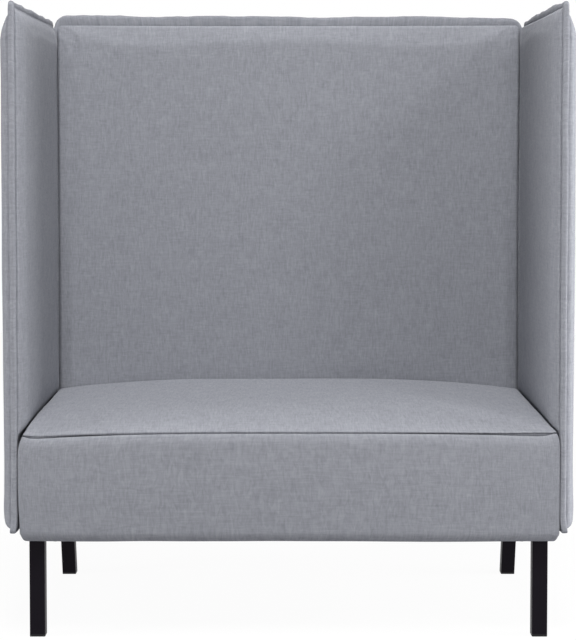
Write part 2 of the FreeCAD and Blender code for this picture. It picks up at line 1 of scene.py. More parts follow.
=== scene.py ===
# %% [markdown]
# # A high-back sofa in woven fabric
#
# The frame holds the sofa's real construction: three plywood panels, a seat box, legs and bolts. This
# lesson dresses it. Every soft piece is made again as sewn cloth over foam, in the place that its solid
# holds, and every other piece gets a finish. The frame is loaded first, because each size below is read
# from it.

import json
import math
from collections import namedtuple

import bmesh
import bpy
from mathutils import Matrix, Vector, noise


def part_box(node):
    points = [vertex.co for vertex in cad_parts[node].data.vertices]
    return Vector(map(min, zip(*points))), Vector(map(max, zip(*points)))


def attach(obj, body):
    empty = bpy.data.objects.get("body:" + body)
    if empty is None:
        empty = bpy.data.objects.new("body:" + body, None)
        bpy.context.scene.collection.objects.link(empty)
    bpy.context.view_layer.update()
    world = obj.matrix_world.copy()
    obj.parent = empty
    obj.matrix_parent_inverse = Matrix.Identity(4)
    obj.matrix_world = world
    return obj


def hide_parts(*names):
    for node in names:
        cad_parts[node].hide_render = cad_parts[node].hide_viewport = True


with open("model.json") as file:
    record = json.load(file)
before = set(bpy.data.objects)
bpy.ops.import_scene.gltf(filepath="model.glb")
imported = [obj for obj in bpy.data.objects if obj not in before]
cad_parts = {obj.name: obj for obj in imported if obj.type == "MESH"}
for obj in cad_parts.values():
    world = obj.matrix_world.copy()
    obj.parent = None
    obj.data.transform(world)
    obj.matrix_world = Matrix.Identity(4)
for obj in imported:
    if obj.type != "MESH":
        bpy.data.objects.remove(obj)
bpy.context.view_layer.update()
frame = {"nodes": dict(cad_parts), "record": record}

# %% [markdown]
# ## Camera
#
# The sofa is seen straight from the front, from a little above the middle of its back, through a long
# lens. A photographer keeps such uprights parallel by shifting the lens instead of tilting the camera.
# Here the lens is shifted for part of the way and the camera tilted by a few degrees for the rest, so
# that the shift stays small and other views still hold the whole sofa.

# %% Camera
camera_place = Vector((-0.0012, -4.184, 1.092))
camera_tilt = math.radians(2.62)
camera_lens = 100.175
camera_shift = -0.15

camera = bpy.data.objects.new("camera", bpy.data.cameras.new("camera"))
bpy.context.scene.collection.objects.link(camera)
camera.location = camera_place
camera.rotation_euler = (math.pi / 2 - camera_tilt, 0, 0)
camera.data.lens = camera_lens
camera.data.shift_y = camera_shift
bpy.context.scene.camera = camera
print("camera:", camera_lens, "mm lens,", round(math.degrees(camera_tilt), 2), "degrees down")

# %% [markdown]
# ## Sewn cloth: the tools that all soft pieces share
#
# A padded cover starts as a flat grid, the cut cloth. Moving its vertices gives the swelling that the
# foam makes. A soft edge rises from its seam as a quarter of an ellipse: steep at the seam, level where
# the roll ends. Grid lines lie closer together towards the seams, because that is where the cloth
# turns.

# %% Tools for shapes
up = Vector((0, 0, 1))
stitch_width = 0.0013
seed_steps = (7.31, 3.17, 5.73)


def soft_edge(distance, width):
    """How far the cloth has risen at a distance from its seam: 0 at the seam, 1 where the roll ends."""
    share = min(max(distance / width, 0.0), 1.0)
    return math.sqrt(1.0 - (1.0 - share) ** 2)


def eased(value, low, high):
    """0 below low, 1 above high, and a smooth step between them."""
    share = min(max((value - low) / (high - low), 0.0), 1.0)
    return share * share * (3 - 2 * share)


def towards_ends(share, closeness):
    """Moves evenly spaced places from -1 to 1 towards both ends. Steps grow from each end inwards."""
    from_end = (math.exp(closeness * (1 - abs(share))) - 1) / (math.exp(closeness) - 1)
    return math.copysign(1.0 - from_end, share)


def rounded_corner(from_side, from_end, radius):
    """Moves a point near a square corner onto a round one. Both distances are measured into the cloth."""
    if from_side >= radius or from_end >= radius:
        return from_side, from_end
    u, v = 1.0 - from_side / radius, 1.0 - from_end / radius
    round_u, round_v = u * math.sqrt(1.0 - v * v / 2), v * math.sqrt(1.0 - u * u / 2)
    return radius * (1.0 - round_u), radius * (1.0 - round_v)


def bulge_past(distance, bulge, reach=0.025):
    """How far the cloth leans out over its own seam, where the filling pushes it past the stitches."""
    return bulge * (1 - math.exp(-distance / stitch_width)) * math.exp(-distance / reach)


def uneven(place, size, seed):
    """Smooth noise between about -1 and 1, with lumps of the given size."""
    return noise.noise(place / size + Vector([seed * step for step in seed_steps]))


def cloth_grid(columns, rows):
    """A flat sheet whose vertices run from -1 to 1 both ways."""
    bm = bmesh.new()
    bmesh.ops.create_grid(bm, x_segments=columns, y_segments=rows, size=1.0)
    return bm


def make_piece(name, bm):
    mesh = bpy.data.meshes.new(name)
    bm.to_mesh(mesh)
    bm.free()
    piece = bpy.data.objects.new(name, mesh)
    bpy.context.scene.collection.objects.link(piece)
    return piece


print("tools: soft edges, rounded corners, cloth grids")

# %% [markdown]
# A weave has to run with the cloth, so each soft piece carries a map of its own, in metres along and
# across the cut. The map is laid on the coarse grid, and the subdivision later carries it along.

# %% Weave map and closing
def lay_weave(bm, cut_place):
    """Writes the map that the weave follows. cut_place gives metres along and across for each vertex."""
    layer = bm.loops.layers.uv.new("weave")
    for face in bm.faces:
        for loop in face.loops:
            loop[layer].uv = cut_place[loop.vert]


def read_weave(bm):
    """Where each vertex lies on the cut cloth."""
    layer = bm.loops.layers.uv["weave"]
    return {loop.vert: loop[layer].uv for face in bm.faces for loop in face.loops}


def smooth_shaded(bm):
    for face in bm.faces:
        face.smooth = True


def close_back(bm):
    """Closes a cover with a flat back, which lies on the panel's core."""
    rim = [edge for edge in bm.edges if edge.is_boundary]
    made = bmesh.ops.contextual_create(bm, geom=rim)
    for edge in rim:
        edge.smooth = False
    for face in made["faces"]:
        face.smooth = False
    bmesh.ops.recalc_face_normals(bm, faces=bm.faces)


print("tools: weave map, flat backs")

# %% [markdown]
# Cloth that is pulled over foam and sewn down finds its own shape, so the covers are simulated. The
# seams are pinned, the foam is a gentle pressure from behind, and gravity is off. Left alone, the
# middle of so large a panel would blow up like a balloon. Real foam is glued to a board, so the
# distance that a point may move is capped softly, at two or three millimetres. Afterwards one
# subdivision smooths the grid.

# %% Cloth simulation
cloth_frames = 20
foam_pressure = 4.0


def settle(piece, pinned, cap):
    """Lets the cover swell as cloth and keeps where it came to rest. No point moves farther than cap."""
    seam = piece.vertex_groups.new(name="seam")
    seam.add(pinned, 1.0, "REPLACE")
    cloth = piece.modifiers.new("cloth", "CLOTH")
    cloth.settings.quality = 5
    cloth.settings.mass = 0.3
    cloth.settings.tension_stiffness = 15
    cloth.settings.compression_stiffness = 15
    cloth.settings.shear_stiffness = 5
    cloth.settings.bending_stiffness = 1.0
    cloth.settings.use_pressure = True
    cloth.settings.uniform_pressure_force = foam_pressure
    cloth.settings.effector_weights.gravity = 0
    cloth.settings.vertex_group_mass = "seam"
    cloth.point_cache.frame_start = 1
    cloth.point_cache.frame_end = cloth_frames
    scene = bpy.context.scene
    for number in range(1, cloth_frames + 1):
        scene.frame_set(number)
    settled = piece.evaluated_get(bpy.context.evaluated_depsgraph_get())
    rest = [vertex.co.copy() for vertex in settled.data.vertices]
    piece.modifiers.remove(cloth)
    piece.vertex_groups.remove(seam)
    farthest = 0.0
    for vertex, place in zip(piece.data.vertices, rest):
        move = place - vertex.co
        farthest = max(farthest, move.length)
        if move.length > 0:
            vertex.co += move * (cap * math.tanh(move.length / cap) / move.length)
    scene.frame_set(1)
    print("  cloth settled:", piece.name, "moved up to", round(farthest * 1000, 1), "mm before the cap")


def subdivided(piece):
    """One subdivision, applied. Returns the finer sheet as a bmesh and removes the coarse piece."""
    finer = piece.modifiers.new("finer", "SUBSURF")
    finer.levels = finer.render_levels = 1
    finer.boundary_smooth = "PRESERVE_CORNERS"
    result = bpy.data.meshes.new_from_object(piece.evaluated_get(bpy.context.evaluated_depsgraph_get()))
    bm = bmesh.new()
    bm.from_mesh(result)
    bpy.data.meshes.remove(result)
    bpy.data.objects.remove(piece)
    return bm


print("tools: cloth at pressure", foam_pressure, "over", cloth_frames, "frames")

# %% [markdown]
# ## Padded panel covers
#
# Each of the three panels has a cover on both faces. A cover swells from the seam at its edges, its
# sides are drawn in a little between the corners by the pull of the seams, and near the seams the cloth
# puckers. Just past the stitches the filling pushes it out over the seam, which is why a seam reads as
# a dark crease. Where a panel meets its neighbour, its padding stops and only flat cloth goes on. One
# function makes all six, from the face of the core that it lies on, its outline, and what happens along
# each side: how wide the roll is, where the padding stops and how far the cloth bulges over the seam.
# In the code, s and t are metres along and up a panel, and a and b are the same places counted from -1
# to 1.

# %% One padded cover
Edge = namedtuple("Edge", "roll stop bulge")
grid_closeness = 3.4
pucker_height = 0.0009
pucker_length = 0.019
pucker_reach = 0.016
lump_height = 0.0011
lump_length = 0.16
flat_cloth = 0.0015
turn_share = 0.5
pinned_reach = 0.008
same_place = 1e-6
panel_cap = 0.002
sewn = "_sewn"


def no_stop(s, t):
    return 0.0


def full(s, t):
    return 1.0


def pucker(place, nearest, seed):
    """How far the cloth puckers at a distance from its seam: not on the stitches, most just past them."""
    fold = math.exp(-nearest / pucker_reach) * (1 - math.exp(-nearest / (pucker_reach / 4)))
    return pucker_height * 2 * fold * uneven(place, pucker_length, seed)


def padded_cover(
    name, face, along, out, outline, swell, edges, draw, radius, seed, cells, cap, fullness=full
):
    """A cover on a core's face. outline and edges give the low and high end along, then those up."""
    along_low, along_high, up_low, up_high = outline
    along_middle, along_half = (along_low + along_high) / 2, (along_high - along_low) / 2
    up_middle, up_half = (up_low + up_high) / 2, (up_high - up_low) / 2
    start = swell - cap / 2

    bm = cloth_grid(*cells)
    pinned = []
    cut_place = {}
    for vertex in bm.verts:
        a, b = towards_ends(vertex.co.x, grid_closeness), towards_ends(vertex.co.y, grid_closeness)
        distances = [(1 + a) * along_half, (1 - a) * along_half, (1 + b) * up_half, (1 - b) * up_half]
        s, t = along_middle + a * along_half, up_middle + b * up_half
        rises = [soft_edge(d - edge.stop(s, t), edge.roll) for d, edge in zip(distances, edges)]
        share = rises[0] * rises[1] * rises[2] * rises[3]
        if min(distances) < pinned_reach or share == 0:
            pinned.append(vertex.index)

        side_edge, end_edge = (edges[0] if a < 0 else edges[1]), (edges[2] if b < 0 else edges[3])
        side, end = rounded_corner(min(distances[:2]), min(distances[2:]), radius)
        side_cut = turn_share * swell * (1 - soft_edge(side, side_edge.roll))
        end_cut = turn_share * swell * (1 - soft_edge(end, end_edge.roll))
        cut_place[vertex] = (s + math.copysign(side_cut, a), t + math.copysign(end_cut, b))
        side -= bulge_past(side, side_edge.bulge)
        end -= bulge_past(end, end_edge.bulge)
        a, b = math.copysign(1 - side / along_half, a), math.copysign(1 - end / up_half, b)
        s = along_middle + a * (along_half - draw * max(1 - b * b, 0))
        t = up_middle + b * (up_half - draw * max(1 - a * a, 0))
        place = along * s + up * t
        height = share * (start * fullness(s, t) + lump_height * uneven(place, lump_length, seed))
        if min(distances) > same_place:
            height = max(height, flat_cloth * soft_edge(min(distances), flat_cloth))
        vertex.co = face + place + out * height
    if along.cross(up).dot(out) < 0:
        bmesh.ops.reverse_faces(bm, faces=bm.faces)
    lay_weave(bm, cut_place)
    coarse = make_piece(name + "_cut", bm)
    settle(coarse, pinned, cap)

    bm = subdivided(coarse)
    for vertex, (s, t) in read_weave(bm).items():
        nearest = max(min(s - along_low, along_high - s, t - up_low, up_high - t) + swell / 2, 0.0)
        vertex.co += out * pucker(vertex.co, nearest, seed)
    smooth_shaded(bm)
    close_back(bm)
    return make_piece(name + sewn, bm)


print("padded cover: rolls from its seams, pucker of", pucker_height * 1000, "mm")

# %% [markdown]
# The padding of the side panels rests on the edge of the seat, so where that edge runs is settled
# first. Its seam sags towards the front corners, a little more on the left, and the tips of the corners
# stand up.

# %% Edge of the seat
left_sag, right_sag = 0.014, 0.007
sag_power, sag_depth = 3.2, 0.09
tip_rise, tip_reach = 0.007, 0.012
seam_in = 0.003
side_press = 0.002

seat_top_low, seat_top_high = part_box("seat_top_cover")
seat_half = seat_top_high.x + side_press
seat_front, seat_seam = seat_top_low.y + seam_in, seat_top_low.z


def seam_height(x, y):
    """The seam's height on the seat's edge: it sags towards the front corners, and their tips stand up."""
    near_front = math.exp(-max(y - seat_front, 0.0) / sag_depth)
    from_side = max(seat_half - abs(x), 0.0)
    sag = (left_sag if x < 0 else right_sag) * (1 - from_side / seat_half) ** sag_power
    return seat_seam - near_front * (sag - tip_rise * math.exp(-from_side / tip_reach))


print("seat edge: seam at", round(seat_seam, 3), "m, half width", round(seat_half, 4), "m")

# %% [markdown]
# The side panels come next. Their outer covers are full pillows. Near the top corners the seams hold
# the cloth flat for a stretch, so that the corners stand up as small ears, and the filling sinks a
# little towards the bottom. The inner covers stop where the back panel and the seat stand against them.
# The two sides are sewn alike, but no two pieces of cloth lie the same, so each has its own seed.

# %% Side panel covers
front_back = Vector((0, 1, 0))
left_right = Vector((1, 0, 0))
side_cells = (72, 104)
outer_roll, outer_top_roll, outer_bottom_roll = 0.050, 0.055, 0.016
inner_front_roll, inner_top_roll = 0.058, 0.030
left_top_flat, right_top_flat = 0.005, 0.001
crease_share, crease_length, crease_seed = 0.5, 0.07, 31
seat_stop_roll, back_stop_roll = 0.008, 0.020
inner_bulge, outer_bulge, bottom_bulge = 0.004, 0.001, 0.009
side_draw = 0.0015
side_corner = 0.006
ear_flat, ear_spread = 0.016, 0.16
full_share, sunk_share, sunk_from, sunk_to = 0.94, 0.07, 0.80, 0.40
notch_height = 0.025
seat_tuck = 0.006

soft_pieces = {}
core_low, core_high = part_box("right_core")
back_cover_low, back_cover_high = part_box("back_front_cover")
inner_low, inner_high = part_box("right_inner_cover")
outer_low, outer_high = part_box("right_outer_cover")
back_core_low, back_core_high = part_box("back_core")

side_outline = (core_low.y, core_high.y, core_low.z, core_high.z)
padding_back_end = core_high.y - back_core_low.y + flat_cloth


def ear_stop(s, t):
    """The flat stretch below the top seam, near the front and the back corner."""
    from_corner = min(s - core_low.y, core_high.y - s)
    return ear_flat * math.exp(-((from_corner / ear_spread) ** 2))


def left_top_stop(s, t):
    """A narrow flat stretch under the top welt, which lies there in an uneven crease."""
    return left_top_flat * (1 + crease_share * uneven(front_back * s, crease_length, crease_seed))


def right_top_stop(s, t):
    return right_top_flat


def back_stop(s, t):
    """The padding ends at the back panel, but runs on to the seam above the back panel's round corner."""
    return padding_back_end * (1 - eased(t, core_high.z - notch_height, core_high.z))


def left_seat_stop(s, t):
    """The padding ends on the edge of the seat."""
    return seam_height(-seat_half, s) + seat_tuck - core_low.z


def right_seat_stop(s, t):
    return seam_height(seat_half, s) + seat_tuck - core_low.z


def sunk(s, t):
    """The filling of an outer cover is thinner towards the bottom."""
    return full_share - sunk_share * eased(-t, -sunk_from, -sunk_to)


inner_front = Edge(inner_front_roll, no_stop, inner_bulge)
inner_back = Edge(back_stop_roll, back_stop, 0.0)
side_stops = {"left": (left_seat_stop, left_top_stop), "right": (right_seat_stop, right_top_stop)}
outer_edges = (
    Edge(outer_roll, no_stop, outer_bulge), Edge(outer_roll, no_stop, outer_bulge),
    Edge(outer_bottom_roll, no_stop, bottom_bulge), Edge(outer_top_roll, ear_stop, outer_bulge),
)
for side, sign, seed in (("right", 1, 1), ("left", -1, 4)):
    seat_stop, top_stop = side_stops[side]
    inner_edges = (
        inner_front, inner_back,
        Edge(seat_stop_roll, seat_stop, 0.0), Edge(inner_top_roll, top_stop, 0.0),
    )
    soft_pieces[side + "_inner_cover"] = padded_cover(
        side + "_inner_cover", left_right * (sign * core_low.x), front_back, left_right * -sign,
        side_outline, core_low.x - inner_low.x, inner_edges, side_draw, side_corner,
        seed, side_cells, panel_cap,
    )
    soft_pieces[side + "_outer_cover"] = padded_cover(
        side + "_outer_cover", left_right * (sign * core_high.x), front_back, left_right * sign,
        side_outline, outer_high.x - core_high.x, outer_edges, side_draw, side_corner,
        seed + 1, side_cells, panel_cap, sunk,
    )
print("side covers:", sum(len(piece.data.polygons) for piece in soft_pieces.values()), "faces")

# %% [markdown]
# The back panel stands between the sides. The padding on its front stops just inside them, with a tight
# roll that makes the crevice in the corner, and runs down behind the seat.

# %% Back panel covers
back_cells = (104, 104)
back_seed = 7
back_draw = 0.0015
back_corner = 0.019
crevice_roll = 0.034
back_top_roll = 0.050
back_bulge = 0.005

back_outline = (back_core_low.x, back_core_high.x, back_core_low.z, back_core_high.z)
back_rear_low, back_rear_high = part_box("back_rear_cover")
side_gap = max(back_core_high.x - back_cover_high.x, 0.0)


def side_stop(s, t):
    return side_gap


def behind_seat(s, t):
    return seat_top_low.z - back_core_low.z


back_front_edges = (
    Edge(crevice_roll, side_stop, 0.0), Edge(crevice_roll, side_stop, 0.0),
    Edge(seat_stop_roll, behind_seat, 0.0), Edge(back_top_roll, no_stop, back_bulge),
)
back_rear_edges = (Edge(outer_roll, no_stop, outer_bulge),) * 4
soft_pieces["back_front_cover"] = padded_cover(
    "back_front_cover", front_back * back_core_low.y, left_right, front_back * -1, back_outline,
    back_core_low.y - back_cover_low.y, back_front_edges, back_draw, back_corner,
    back_seed, back_cells, panel_cap,
)
soft_pieces["back_rear_cover"] = padded_cover(
    "back_rear_cover", front_back * back_core_high.y, left_right, front_back, back_outline,
    back_rear_high.y - back_core_high.y, back_rear_edges, back_draw, back_corner,
    back_seed + 1, back_cells, panel_cap,
)
print("back covers:", [round(size, 3) for size in soft_pieces["back_front_cover"].dimensions])

# %% [markdown]
# ## Border welts
#
# A strip of cloth over a thin foam cord runs round the edge of each panel, between its two covers. Four
# strips meet at the corners, where they pinch into small ears. A grid is rolled into a closed tube
# round the panel: one way goes round the edge, the other round the strip's own section, which is nearly
# a circle that swells past its seams. Sewn strips are never quite even, so the crest wanders by a
# millimetre or two. The strips along the top are the fullest. They are marked in the mesh, so that the
# finish can darken them with painted shade.

# %% One border welt
welt_cells = (1000, 22)
belly_share = 1.22
outer_belly = 0.1
long_wander, long_wander_length = 0.0016, 0.30
top_bump, top_bump_length = 0.0030, 0.055
ear_reach = 0.020
ear_pinch = 0.10
ear_rise = 0.10
bottom_lean = 0.0045
bottom_squareness = 3.0
crest_wander = 0.0016
crest_wander_length = 0.10
small_wrinkle = 0.0006
small_wrinkle_length = 0.022
even_share, crowded_share = 0.2, 0.8
strip_blend = 0.02
low_corner_reach, top_reach = 0.1, 0.02
ear_sharpness = 0.75
sway_seed, bump_seed = 20, 40


def even(t):
    return 1.0


def border_place(way, grow, outline, draw, radius, top_growth=even, side_growth=even):
    """A place on the grown outline, 0 to 4 round its sides, and its distance to the nearest corner."""
    s0, s1, t0, t1 = outline
    side = min(int(way), 3)
    a = 2 * (way - side) - 1
    a = even_share * a + crowded_share * math.sin(a * math.pi / 2)
    sideways = (a, 1, -a, -1)[side]
    s_middle = (s0 + s1) / 2
    top = top_growth(s_middle + sideways * (s1 - s0) / 2)
    t_middle = (t0 + t1) / 2 + grow * (top - 1) / 2
    t_half = (t1 - t0) / 2 + grow * (top + 1) / 2
    upwards = (-1, a, 1, -a)[side]
    s_half = (s1 - s0) / 2 + grow * side_growth(t_middle + upwards * t_half)
    half, reach = (s_half, t_half) if side in (0, 2) else (t_half, s_half)
    end = half * (1 - abs(a))
    if end < radius:
        turn = (1 - end / radius) * math.pi / 4
        length = math.copysign(half - radius + radius * math.sin(turn), a)
        reach -= radius * (1 - math.cos(turn))
    else:
        length = a * half
    reach -= draw * (1 - a * a)
    s, t = ((length, -reach), (reach, length), (-length, reach), (-reach, -length))[side]
    return s_middle + s, t_middle + t, end


def welt_section(turn, squareness):
    """Round the strip from one seam, 0, to the other, 1: its rise (1 full) and its place across."""
    low_angle = math.acos(1 / belly_share)
    angle = -low_angle + turn * (math.pi + 2 * low_angle)
    sine, cosine = math.sin(angle), math.cos(angle)
    dip = math.sin(low_angle)
    rise = (math.copysign(abs(sine) ** (2 / squareness), sine) + dip) / (1 + dip)
    across = belly_share * math.copysign(abs(cosine) ** (2 / squareness), cosine)
    return max(rise, 0.0), across


def border_welt(
    name, faces, along, out, outline, height, draw, radius, squareness, ears, lean, seed,
    top_growth=even, side_growth=even,
):
    """A stuffed strip round a panel's edge, from the near face of its core to the far one."""
    bm = cloth_grid(*welt_cells)
    near, far = faces
    middle, half = (near + far) / 2, (far - near) / 2
    way_round = 2 * (outline[1] - outline[0] + outline[3] - outline[2])
    section_length = 2 * height + 2 * abs(half)
    cut_place = {}
    # Marks the top strip, on which the finish paints shade as a darker tone of the cloth.
    painted_shade_strip = bm.verts.layers.float.new("painted_shade_strip")
    for vertex in bm.verts:
        way, turn = 2 * (vertex.co.x + 1), (vertex.co.y + 1) / 2
        past_start = eased(way, 2 - strip_blend, 2 + strip_blend)
        vertex[painted_shade_strip] = past_start * eased(-way, -(3 + strip_blend), -(3 - strip_blend))
        s, t, end = border_place(way % 4, 0, outline, draw, radius)
        place = along * s + up * t
        ear = ears * math.exp(-((end / ear_reach) ** 2))
        low_corner = ear * eased(-t, -outline[2] - low_corner_reach, -outline[2])
        rise, across = welt_section(turn, squareness + bottom_squareness * low_corner)
        wander = crest_wander * uneven(place, crest_wander_length, seed)
        wander += small_wrinkle * uneven(place + out * across * half, small_wrinkle_length, seed)
        wander += long_wander * (1 - ears) * uneven(place, long_wander_length, seed)
        on_top = eased(t, outline[3] - top_reach, outline[3]) * (1 - ear)
        wander += top_bump * ears * on_top * uneven(place, top_bump_length, seed + bump_seed)
        grow = rise * (height * (1 + ear_rise * ear) + wander)
        corner = radius + grow * (1 - ear_sharpness * ears)
        s, t, end = border_place(way % 4, grow, outline, draw, corner, top_growth, side_growth)
        if across > 1:
            across = 1 + (across - 1) * outer_belly
        width = half * (1 - ear_pinch * ear * rise)
        drift = crest_wander * uneven(place, crest_wander_length, seed + sway_seed)
        sway = rise * (drift + lean * low_corner)
        vertex.co = along * s + up * t + out * (middle + across * width + sway)
        cut_place[vertex] = (way / 4 * way_round, turn * section_length)
    lay_weave(bm, cut_place)
    bmesh.ops.remove_doubles(bm, verts=bm.verts, dist=same_place)
    bmesh.ops.holes_fill(bm, edges=[edge for edge in bm.edges if edge.is_boundary], sides=0)
    smooth_shaded(bm)
    bmesh.ops.recalc_face_normals(bm, faces=bm.faces)
    return make_piece(name + sewn, bm)


welt_low, welt_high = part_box("right_border_welt")
side_welt_height = welt_high.z - core_high.z
side_squareness, with_ears = 2.2, 1.0
left_arch, right_arch = 0.22, 0.50


def left_top_growth(s):
    """The top strip of a side panel is fuller between its ears."""
    return 1 + left_arch * (1 - (s / core_high.y) ** 2)


def right_top_growth(s):
    return 1 + right_arch * (1 - (s / core_high.y) ** 2)


for side, sign, seed, growth in (("right", 1, 11, right_top_growth), ("left", -1, 12, left_top_growth)):
    soft_pieces[side + "_border_welt"] = border_welt(
        side + "_border_welt", (sign * core_low.x, sign * core_high.x), front_back, left_right,
        side_outline, side_welt_height, side_draw, side_corner, side_squareness, with_ears,
        sign * bottom_lean, seed, growth,
    )
back_welt_low, back_welt_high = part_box("back_border_welt")
back_welt_height = back_core_low.z - back_welt_low.z
back_top_rise = 0.0038
back_top_share = (back_welt_high.z + back_top_rise - back_core_high.z) / back_welt_height
right_droop, droop_start, droop_end = 0.24, 0.28, 0.52
back_side_share, slim_start, slim_end = 0.5, -0.012, 0.002
back_squareness, no_ears, no_lean = 2.8, 0.0, 0.0
back_welt_seed = 13


def back_top_growth(s):
    """The back's top strip is thicker than its others, and droops a little towards its right end."""
    return back_top_share * (1 - right_droop * eased(s, droop_start, droop_end))


def slimmer_top(t):
    """The back's side strips are slimmer towards its top corners, which stand free of the side panels."""
    slimmed = eased(t, back_core_high.z + slim_start, back_core_high.z + slim_end)
    return 1 - (1 - back_side_share) * slimmed


soft_pieces["back_border_welt"] = border_welt(
    "back_border_welt", (back_core_low.y, back_core_high.y), left_right, front_back, back_outline,
    back_welt_height, back_draw, back_corner, back_squareness, no_ears, no_lean,
    back_welt_seed, back_top_growth, slimmer_top,
)
print("welts:", [round(size, 3) for size in soft_pieces["right_border_welt"].dimensions])

# %% [markdown]
# ## Seat
#
# The seat is one thick box. Its top cover is crowned and its edge is sewn to the border, which wraps
# the front and the sides, rolls under at the bottom and is stapled there. The seam between them follows
# the edge set out above. The stitches pull it in, and the cloth on both sides swells past it, so it
# lies in a deep crease.

# %% Seat top
seat_cells = (116, 76)
front_crown_reach, front_crown_power = 0.285, 2.6
side_crown_reach, side_crown_power = 0.42, 2.2
seat_side_roll = 0.010
seat_side_rise = 0.010
side_rise_reach, seat_lump_reach = 0.05, 0.06
seat_lump_share = 1.5
left_flare, right_flare, flare_reach = 0.003, 0.008, 0.016
seam_roll_height, seam_roll_width = 0.007, 0.010
front_lip, side_lip, lip_reach = 0.007, 0.003, 0.018
seat_cap = 0.003
seat_corner = 0.003
crown_pride = 0.003
seat_seed = 21

seat_back = seat_top_high.y
seat_crown = seat_top_high.z + crown_pride - seat_seam


def crown(distance, reach, power):
    """How far the seat has risen towards its crown at a distance from its edge."""
    share = min(max(distance / reach, 0.0), 1.0)
    return 1.0 - (1.0 - share) ** power


def flared(x, y, share=1.0):
    """The seat's corners are pulled out sideways to a point."""
    flare = (left_flare if x < 0 else right_flare) * share
    flare *= math.exp(-max(y - seat_front, 0.0) / flare_reach)
    return x * (1 + flare / seat_half)


def seat_top():
    bm = cloth_grid(*seat_cells)
    pinned = []
    cut_place = {}
    half_y = (seat_back - seat_front) / 2
    lift = seat_cap / 2
    for vertex in bm.verts:
        a, b = towards_ends(vertex.co.x, grid_closeness), towards_ends(vertex.co.y, grid_closeness)
        side, front = (1 - abs(a)) * seat_half, (1 + b) * half_y
        if min(side, front) < pinned_reach or b > 1 - same_place:
            pinned.append(vertex.index)
        side, front = rounded_corner(side, front, seat_corner)
        x, y = math.copysign(seat_half - side, a), seat_front + front
        cut_place[vertex] = (x, y)
        place = Vector((x, y, 0))
        side_crown = crown(side, side_crown_reach, side_crown_power)
        front_crown = crown(front, front_crown_reach, front_crown_power)
        rise = (seat_crown - seam_roll_height - lift) * side_crown * front_crown
        side_roll = soft_edge(side, seat_side_roll)
        rise += seat_side_rise * side_roll * soft_edge(front, side_rise_reach) * (1 - side_crown)
        lump = lump_height * seat_lump_share * uneven(place, lump_length, seat_seed)
        rise += lump * soft_edge(min(side, front), seat_lump_reach)
        rise += seam_roll_height * soft_edge(min(side, front), seam_roll_width)
        z = seam_height(x, y) + rise
        x = math.copysign(seat_half - side + bulge_past(side, side_lip, lip_reach), a)
        vertex.co = (flared(x, y), y - bulge_past(front, front_lip, lip_reach), z)
    lay_weave(bm, cut_place)
    coarse = make_piece("seat_top_cut", bm)
    settle(coarse, pinned, seat_cap)

    bm = subdivided(coarse)
    for vertex, (x, y) in read_weave(bm).items():
        nearest = max(min(seat_half - abs(x), y - seat_front), 0.0)
        vertex.co.z += pucker(vertex.co, nearest, seat_seed)
    smooth_shaded(bm)
    close_back(bm)
    return make_piece("seat_top_cover" + sewn, bm)


soft_pieces["seat_top_cover"] = seat_top()
print("seat top:", [round(size, 3) for size in soft_pieces["seat_top_cover"].dimensions])

# %% [markdown]
# The border is a band that goes all the way round. Down its height it follows a profile: out from the
# seam over a soft shoulder, down the face, round the bottom edge and in under the frame. The front face
# swells a little, and its bottom edge is pulled unevenly by the staples.

# %% Seat border
border_cells = (620, 66)
border_low, border_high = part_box("seat_border_cover")
shoulder_height = 0.030
shoulder_squareness = 2.5
bottom_round = 0.016
left_taper, right_taper, taper_top = 0.0045, 0.0, 0.34
hem_sag, hem_sag_reach = 0.006, 1.2
left_shoulder, right_shoulder = 0.055, 0.030
hem_width = 0.034
left_corner, right_corner = 0.0045, 0.002
face_swell, face_swell_reach = 0.0025, 0.08
swell_below_seam, swell_past_corner = 0.03, 0.04
border_lump_share, border_seed = 0.7, 22
bottom_pull, pull_length, pull_seed = 0.0012, 0.13, 23
pull_start, pull_reach = 0.6, 0.3
seam_ridge, ridge_end = 0.0012, 0.8
seam_follow = 0.08
shoulder_end, face_end, round_end = 0.45, 0.80, 0.94


def border_profile(share):
    """Down the border, from its seam, 0, to the end of its hem, 1: how far out (1 full), height, inset."""
    shoulder_z = border_high.z - shoulder_height
    if share < shoulder_end:
        angle = math.pi / 2 * (1 - share / shoulder_end)
        power = 2 / shoulder_squareness
        return math.cos(angle) ** power, shoulder_z + shoulder_height * math.sin(angle) ** power, 0.0
    if share < face_end:
        down = (share - shoulder_end) / (face_end - shoulder_end)
        return 1.0, shoulder_z + (border_low.z + bottom_round - shoulder_z) * down, 0.0
    if share < round_end:
        angle = math.pi / 2 * (share - face_end) / (round_end - face_end)
        height = border_low.z + bottom_round * (1 - math.sin(angle))
        return 1.0, height, bottom_round * (1 - math.cos(angle))
    under = (hem_width - bottom_round) * (share - round_end) / (1 - round_end)
    return 1.0, border_low.z, bottom_round + under


